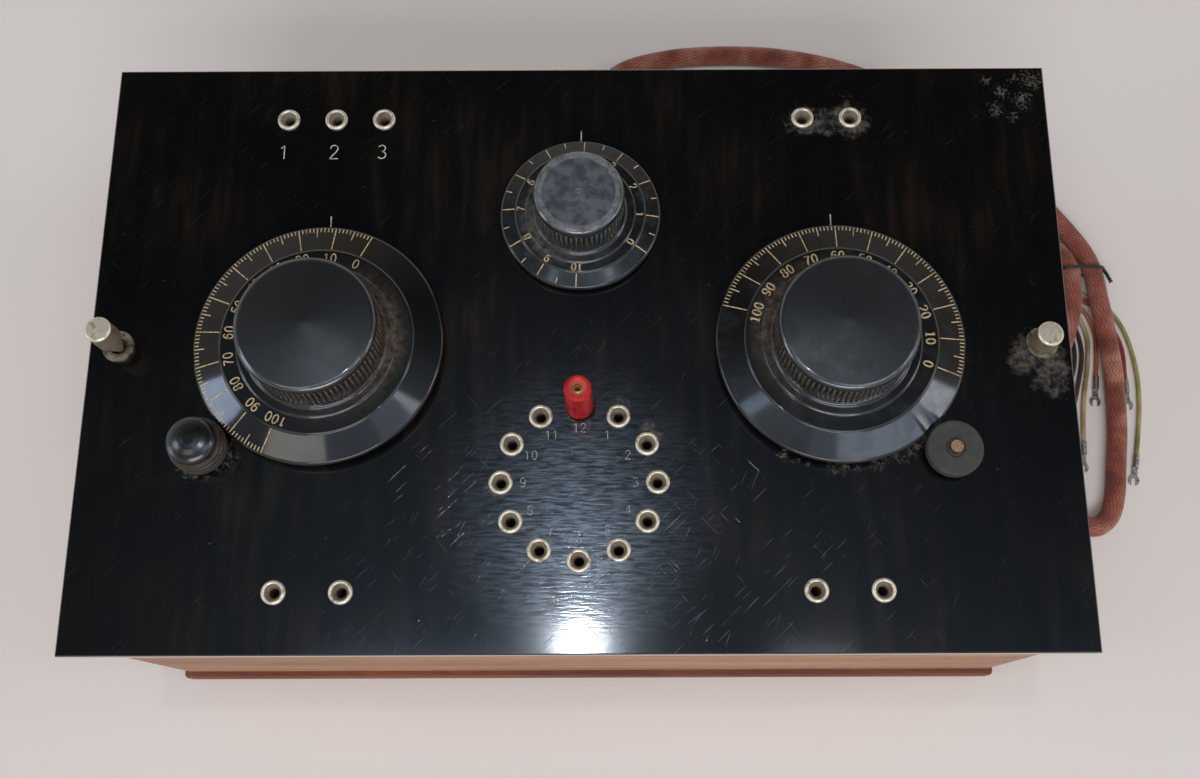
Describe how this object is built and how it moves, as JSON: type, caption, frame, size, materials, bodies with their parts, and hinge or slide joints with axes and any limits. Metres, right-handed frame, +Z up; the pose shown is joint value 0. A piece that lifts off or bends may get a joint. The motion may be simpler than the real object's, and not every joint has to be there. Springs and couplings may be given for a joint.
{
  "type": "tube radio",
  "caption": "Battery tube radio: flat ebonite panel with fluted dials, sockets and friction drives on a shallow wooden box, with a braided battery cable.",
  "frame": {"origin": "centre of the base plank's underside, which is the floor", "axes": "+Z up through the panel, +X to the right of someone using the dials, -Y towards them"},
  "size_m": [0.4875, 0.3465, 0.1842],
  "materials": {
    "plank_wood": "worn satin",
    "wall_wood": "matt, worn",
    "brass": "tarnished",
    "bakelite": "polished",
    "dark_bakelite": "satin",
    "ebonite": "satin, weathered",
    "fibre": "matt",
    "nickel": "dulled nickel plate",
    "core_iron": "matt",
    "coil_wire": "cotton-covered wire",
    "red_wire": "silk-covered wire",
    "tinned_wire": "tinned",
    "resistance_wire": "oxidised",
    "leak_glass": "clear",
    "cable_braid": "braided cotton",
    "yellow_braid": "braided cotton",
    "red_braid": "braided cotton",
    "brown_braid": "braided cotton",
    "cream_braid": "braided cotton",
    "orange_braid": "braided cotton",
    "black_braid": "braided cotton",
    "lug_metal": "tarnished tin",
    "tie_wire": "black covered wire",
    "rubber": "matt, aged",
    "spindle_metal": "coppery, worn",
    "red_plastic": "satin",
    "tube_bakelite": "satin",
    "bulb_glass": "silvered glass"
  },
  "bodies": {
    "cabinet": {"base_plank": "plank_wood", "front_wall": "wall_wood", "rear_wall": "wall_wood", "side_walls": "wall_wood", "insert_nuts": "brass", "cable_bush": "dark_bakelite", "terminal_strip": "ebonite", "detector_holder": "dark_bakelite", "driver_holder": "dark_bakelite", "output_holder": "dark_bakelite", "transformer_core": "core_iron", "transformer_winding": "red_wire", "grid_leak": "leak_glass", "baseboard_wiring": "tinned_wire", "battery_cable": "cable_braid", "lead_yellow": "yellow_braid", "lead_red": "red_braid", "lead_brown": "brown_braid", "lead_cream": "cream_braid", "lead_orange": "orange_braid", "lead_black": "black_braid", "lead_lugs": "lug_metal", "cable_tie": "tie_wire"},
    "panel": {"ebonite_panel": "ebonite", "aerial_sockets": "nickel", "earth_sockets": "nickel", "phone_sockets": "nickel", "tap_sockets": "nickel", "socket_nuts": "brass", "coil_former": "fibre", "coil_winding": "coil_wire", "station_frame": "fibre", "station_stator": "brass", "volume_frame": "fibre", "volume_stator": "brass", "panel_bushes": "brass", "rheostat_former": "fibre", "rheostat_winding": "resistance_wire", "panel_wiring": "tinned_wire"},
    "station": {"station_dial": "bakelite", "station_rotor": "brass"},
    "volume": {"volume_dial": "bakelite", "volume_rotor": "brass"},
    "rheostat": {"filament_dial": "bakelite", "rheostat_wiper": "brass"},
    "station_drive": {"drive_knob": "dark_bakelite", "station_spindle": "spindle_metal", "station_wheel": "rubber"},
    "volume_drive": {"volume_wheel": "rubber", "volume_spindle": "spindle_metal"},
    "left_screw": {"left_thumbscrew": "nickel"},
    "right_screw": {"right_thumbscrew": "nickel"},
    "tap_plug": {"plug_handle": "red_plastic", "plug_pin": "brass"},
    "detector_tube": {"detector_base": "tube_bakelite", "detector_bulb": "bulb_glass"},
    "driver_tube": {"driver_base": "tube_bakelite", "driver_bulb": "bulb_glass"},
    "output_tube": {"output_base": "tube_bakelite", "output_bulb": "bulb_glass"}
  },
  "joints": [
    {"name": "panel_lift", "type": "slide", "parent": "cabinet", "child": "panel", "axis": [0, 0, 1], "range_m": [0, 0.16]},
    {"name": "station_turn", "type": "hinge", "parent": "panel", "child": "station", "pos_m": [-0.105, -0.002, 0.16], "axis": [0, 0, 1], "range_deg": [-156.6, 23.4]},
    {"name": "volume_turn", "type": "hinge", "parent": "panel", "child": "volume", "pos_m": [0.105, -0.002, 0.16], "axis": [0, 0, 1], "range_deg": [-72, 108]},
    {"name": "filament_turn", "type": "hinge", "parent": "panel", "child": "rheostat", "pos_m": [0, 0.055, 0.16], "axis": [0, 0, 1], "range_deg": [-177, 123]},
    {"name": "station_drive_turn", "type": "hinge", "parent": "panel", "child": "station_drive", "pos_m": [-0.15013, -0.04408, 0.16], "axis": [0, 0, 1], "range_deg": [-106, 703]},
    {"name": "volume_drive_turn", "type": "hinge", "parent": "panel", "child": "volume_drive", "pos_m": [0.14786, -0.04638, 0.16], "axis": [0, 0, 1], "range_deg": [-485, 324]},
    {"name": "left_screw_out", "type": "slide", "parent": "panel", "child": "left_screw", "axis": [0, 0, 1], "range_m": [-0.01, 0.02]},
    {"name": "right_screw_out", "type": "slide", "parent": "panel", "child": "right_screw", "axis": [0, 0, 1], "range_m": [0, 0.014]},
    {"name": "plug_pull", "type": "slide", "parent": "panel", "child": "tap_plug", "axis": [0, 0, 1], "range_m": [0, 0.02]},
    {"name": "detector_pull", "type": "slide", "parent": "cabinet", "child": "detector_tube", "axis": [0, 0, 1], "range_m": [0, 0.016]},
    {"name": "driver_pull", "type": "slide", "parent": "cabinet", "child": "driver_tube", "axis": [0, 0, 1], "range_m": [0, 0.016]},
    {"name": "output_pull", "type": "slide", "parent": "cabinet", "child": "output_tube", "axis": [0, 0, 1], "range_m": [0, 0.016]}
  ],
  "couplings": [
    {"joint": "station_drive_turn", "follows": "station_turn", "ratio": -4.4821},
    {"joint": "volume_drive_turn", "follows": "volume_turn", "ratio": -4.4821}
  ]
}
